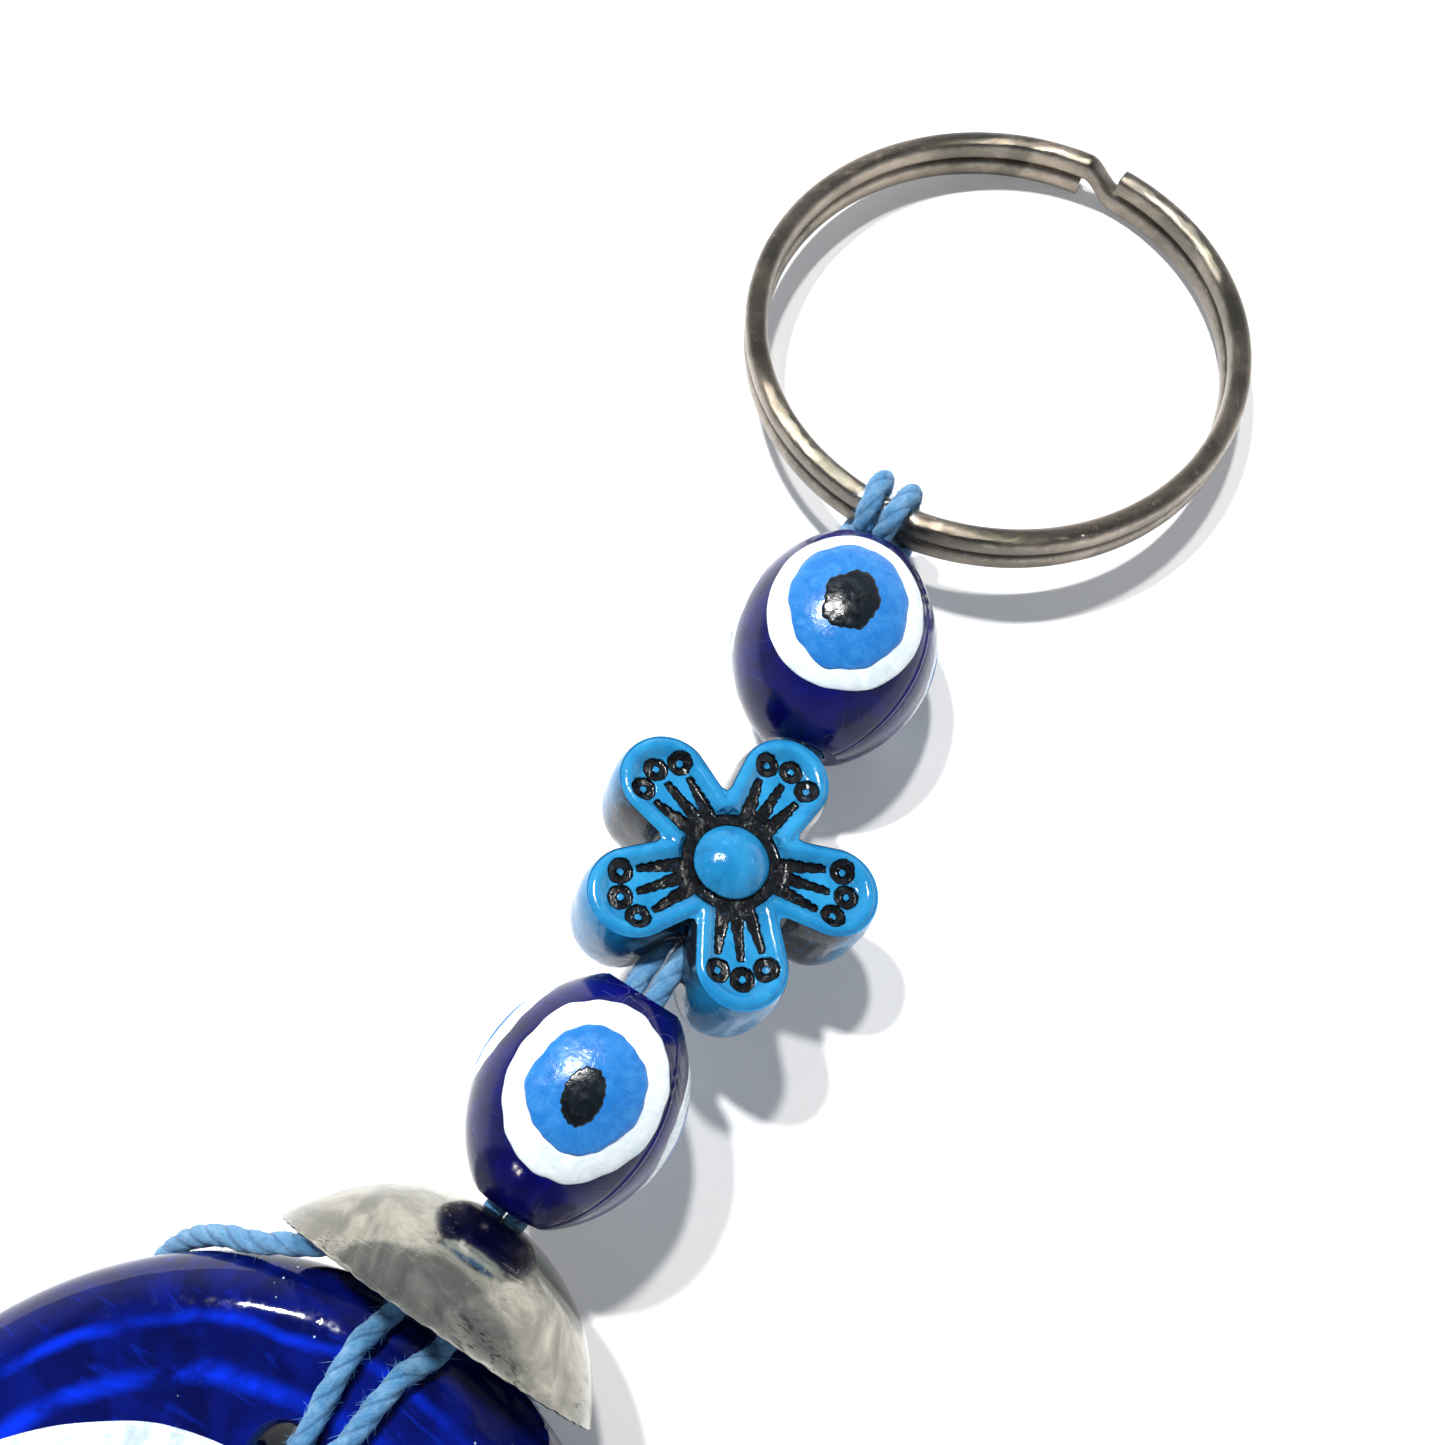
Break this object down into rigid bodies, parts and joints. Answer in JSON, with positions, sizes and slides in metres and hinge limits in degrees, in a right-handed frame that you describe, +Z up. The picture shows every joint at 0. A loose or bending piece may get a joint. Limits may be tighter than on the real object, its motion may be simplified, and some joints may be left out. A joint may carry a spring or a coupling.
{
  "type": "hanging ornament",
  "caption": "Blue glass evil eye disc on a waxed cord with a silver bead cap, two painted barrel beads, an enamelled flower bead and a split ring.",
  "frame": {"origin": "Middle of the foot that the glass eye rests on, on the surface below it (z=0)", "axes": "X across the ornament, Y from the glass eye to the split ring, Z up out of the face of the eye"},
  "size_m": [0.05, 0.1427, 0.0207],
  "materials": {
    "blue_glass": "deep cobalt pressed glass, polished, seen against its own dark body",
    "white_glass": "opaque white glass, glossy",
    "light_blue_glass": "opaque light blue glass, glossy",
    "black_glass": "black glass, glossy",
    "bead_glass": "navy, slightly translucent, glossy with mould lines",
    "white_paint": "thick hand-dotted white paint, satin gloss",
    "blue_paint": "thick hand-dotted blue paint, satin gloss",
    "black_paint": "thick hand-dotted black paint, satin gloss",
    "flower_enamel": "light blue moulded bead, glossy, worn at the rims",
    "black_wash": "black antiquing in the grooves and ring dots",
    "cap_metal": "silver-plated sheet, scuffed, with a scratched patch near the rim",
    "ring_metal": "darkened nickel plate, worn bright along its edges",
    "waxed_cord": "light blue waxed cotton cord, twisted, slightly fuzzy"
  },
  "bodies": {
    "glass_eye": {"glass_disc": "blue_glass", "eye_white": "white_glass", "eye_blue": "light_blue_glass", "eye_pupil": "black_glass", "eye_loop_left": "waxed_cord", "eye_loop_right": "waxed_cord", "cap_knot": "waxed_cord"},
    "cap_cord": {"cap_cord_left": "waxed_cord", "cap_cord_right": "waxed_cord"},
    "bead_cap": {"bead_cap": "cap_metal"},
    "lower_link": {"lower_cord_left": "waxed_cord", "lower_cord_right": "waxed_cord"},
    "lower_bead": {"lower_bead": "bead_glass", "lower_white_1": "white_paint", "lower_white_2": "white_paint", "lower_white_3": "white_paint", "lower_iris_1": "blue_paint", "lower_iris_2": "blue_paint", "lower_iris_3": "blue_paint", "lower_pupil_1": "black_paint", "lower_pupil_2": "black_paint", "lower_pupil_3": "black_paint"},
    "middle_link": {"middle_cord_left": "waxed_cord", "middle_cord_right": "waxed_cord"},
    "flower_bead": {"flower_bead": "flower_enamel", "flower_wash": "black_wash"},
    "upper_link": {"upper_cord_left": "waxed_cord", "upper_cord_right": "waxed_cord"},
    "upper_bead": {"upper_bead": "bead_glass", "upper_white_1": "white_paint", "upper_white_2": "white_paint", "upper_white_3": "white_paint", "upper_iris_1": "blue_paint", "upper_iris_2": "blue_paint", "upper_iris_3": "blue_paint", "upper_pupil_1": "black_paint", "upper_pupil_2": "black_paint", "upper_pupil_3": "black_paint"},
    "ring_cord": {"ring_hitch": "waxed_cord"},
    "split_ring": {"split_ring": "ring_metal"}
  },
  "joints": [
    {"name": "eye_tilt", "type": "hinge", "parent": "glass_eye", "child": "cap_cord", "pos_m": [0.00038, 0.02854, 0.01009], "axis": [0.9999, -0.0105, 0], "range_deg": [-2, 30]},
    {"name": "cap_spin", "type": "hinge", "parent": "cap_cord", "child": "bead_cap", "pos_m": [0.00035, 0.02515, 0.01036], "axis": [0.0104, 0.9966, -0.0819], "continuous": true},
    {"name": "cap_bend", "type": "hinge", "parent": "cap_cord", "child": "lower_link", "pos_m": [0.00042, 0.03213, 0.00979], "axis": [1, -0.0087, 0], "range_deg": [-28, 10]},
    {"name": "lower_bead_spin", "type": "hinge", "parent": "lower_link", "child": "lower_bead", "pos_m": [0.00049, 0.03945, 0.01046], "axis": [0.0087, 0.9958, 0.0906], "continuous": true},
    {"name": "flower_bend", "type": "hinge", "parent": "lower_link", "child": "middle_link", "pos_m": [0.00055, 0.04706, 0.01115], "axis": [-0.0008, -0.0906, 0.9959], "range_deg": [-11, 9]},
    {"name": "flower_spin", "type": "hinge", "parent": "middle_link", "child": "flower_bead", "pos_m": [0.0004, 0.05519, 0.00906], "axis": [-0.0186, 0.9684, -0.2487], "continuous": true},
    {"name": "upper_bend", "type": "hinge", "parent": "middle_link", "child": "upper_link", "pos_m": [0.00021, 0.06482, 0.00659], "axis": [-0.0048, 0.2486, 0.9686], "range_deg": [-34, 7]},
    {"name": "upper_bead_spin", "type": "hinge", "parent": "upper_link", "child": "upper_bead", "pos_m": [-0.00177, 0.07247, 0.00666], "axis": [-0.2504, 0.9681, 0.0087], "continuous": true},
    {"name": "ring_bend", "type": "hinge", "parent": "upper_link", "child": "ring_cord", "pos_m": [-0.00374, 0.08012, 0.00673], "axis": [0.9995, 0.0332, 0], "range_deg": [-5, 9]},
    {"name": "ring_turn", "type": "hinge", "parent": "ring_cord", "child": "split_ring", "pos_m": [-0.00439, 0.09975, 0.00377], "axis": [-0.0037, 0.1114, 0.9938], "continuous": true}
  ]
}
